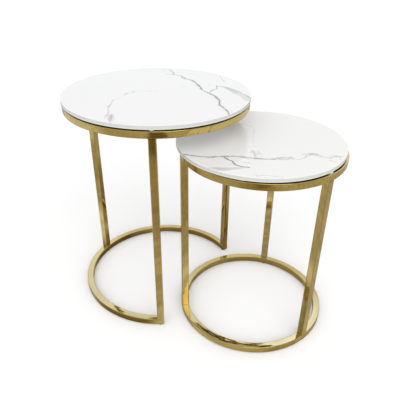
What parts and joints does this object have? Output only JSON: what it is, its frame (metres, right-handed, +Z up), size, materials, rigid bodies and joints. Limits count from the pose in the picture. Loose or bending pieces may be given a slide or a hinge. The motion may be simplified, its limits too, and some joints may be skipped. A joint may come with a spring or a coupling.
{
  "type": "nesting tables",
  "caption": "Round nesting side tables with white marble tops on polished gold tube frames; the smaller slides under the larger through its open base.",
  "frame": {"origin": "middle of the pair's footprint, on the floor", "axes": "+Z up; +X from the large table towards the small one, the direction in which the small one pulls out"},
  "size_m": [0.769, 0.5, 0.608],
  "materials": {
    "marble": "polished white marble with fine grey veins",
    "gold": "gold-coated steel tube, mirror polished with fine drawn lines",
    "steel": "bright zinc",
    "silicone": "clear silicone, satin",
    "rubber": "black rubber, matt"
  },
  "bodies": {
    "large_table": {"large_base_cap_a": "gold", "large_base_cap_b": "gold", "large_c_base": "gold", "large_foot_1": "rubber", "large_foot_2": "rubber", "large_foot_3": "rubber", "large_leg_1": "gold", "large_leg_1_insert_high": "steel", "large_leg_1_insert_low": "steel", "large_leg_1_screw_high": "steel", "large_leg_1_screw_low": "steel", "large_leg_2": "gold", "large_leg_2_insert_high": "steel", "large_leg_2_insert_low": "steel", "large_leg_2_screw_high": "steel", "large_leg_2_screw_low": "steel", "large_leg_3": "gold", "large_leg_3_insert_high": "steel", "large_leg_3_insert_low": "steel", "large_leg_3_screw_high": "steel", "large_leg_3_screw_low": "steel", "large_slab": "marble", "large_stop_1": "silicone", "large_stop_2": "silicone", "large_stop_3": "silicone", "large_stop_4": "silicone", "large_stop_5": "silicone", "large_stop_6": "silicone", "large_top_ring": "gold"},
    "small_table": {"small_base_ring": "gold", "small_foot_1": "rubber", "small_foot_2": "rubber", "small_foot_3": "rubber", "small_leg_1": "gold", "small_leg_1_insert_high": "steel", "small_leg_1_insert_low": "steel", "small_leg_1_screw_high": "steel", "small_leg_1_screw_low": "steel", "small_leg_2": "gold", "small_leg_2_insert_high": "steel", "small_leg_2_insert_low": "steel", "small_leg_2_screw_high": "steel", "small_leg_2_screw_low": "steel", "small_leg_3": "gold", "small_leg_3_insert_high": "steel", "small_leg_3_insert_low": "steel", "small_leg_3_screw_high": "steel", "small_leg_3_screw_low": "steel", "small_slab": "marble", "small_stop_1": "silicone", "small_stop_2": "silicone", "small_stop_3": "silicone", "small_stop_4": "silicone", "small_stop_5": "silicone", "small_stop_6": "silicone", "small_top_ring": "gold"}
  },
  "joints": [
    {"name": "nesting_slide", "type": "slide", "parent": "large_table", "child": "small_table", "axis": [1, 0, 0], "range_m": [-0.08, 0.2]}
  ]
}
